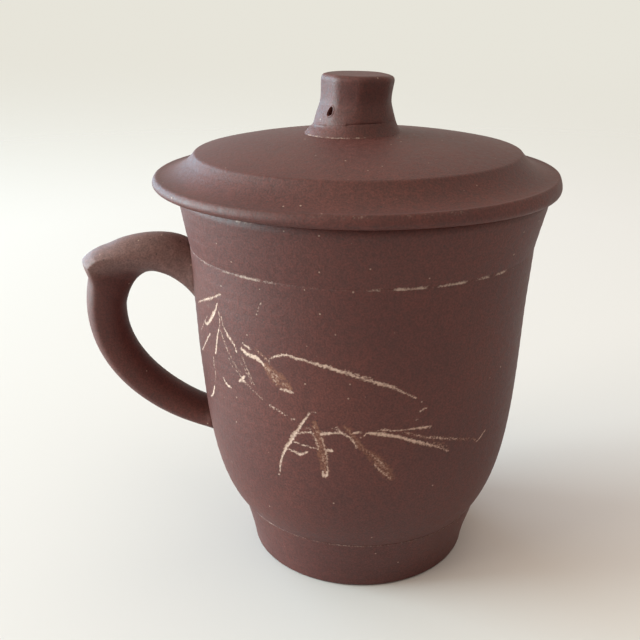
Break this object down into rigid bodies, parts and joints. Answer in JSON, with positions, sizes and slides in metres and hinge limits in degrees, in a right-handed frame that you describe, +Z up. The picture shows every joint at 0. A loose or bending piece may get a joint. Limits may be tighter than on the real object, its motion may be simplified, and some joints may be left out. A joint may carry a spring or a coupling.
{
  "type": "lidded tea mug",
  "caption": "Unglazed brown clay tea mug with a flared mouth, an ear-shaped handle with a thumb spur, and a loose domed lid with a vented knob that lifts off.",
  "frame": {"origin": "on the cup's axis, on the flat ring under the foot that the mug stands on", "axes": "+Z up along the cup's axis, handle towards -X, front of the mug towards -Y"},
  "size_m": [0.1222, 0.101, 0.128],
  "materials": {
    "foot_clay": "unglazed fired clay, matte, faint wear on edges",
    "body_clay": "unglazed fired clay, fine grain, soft satin sheen",
    "lid_clay": "unglazed fired clay, fine grain, soft satin sheen"
  },
  "bodies": {
    "cup": {"foot_ring": "foot_clay", "floor_disc": "foot_clay", "body_wall": "body_clay", "neck_band": "body_clay", "handle": "body_clay"},
    "lid": {"lid_flange": "lid_clay", "lid_dome": "lid_clay", "lid_locating_ring": "lid_clay", "knob_collar": "lid_clay", "knob": "lid_clay"}
  },
  "joints": [
    {"name": "lid_lift", "type": "slide", "parent": "cup", "child": "lid", "axis": [0, 0, 1], "range_m": [0, 0.1]}
  ]
}
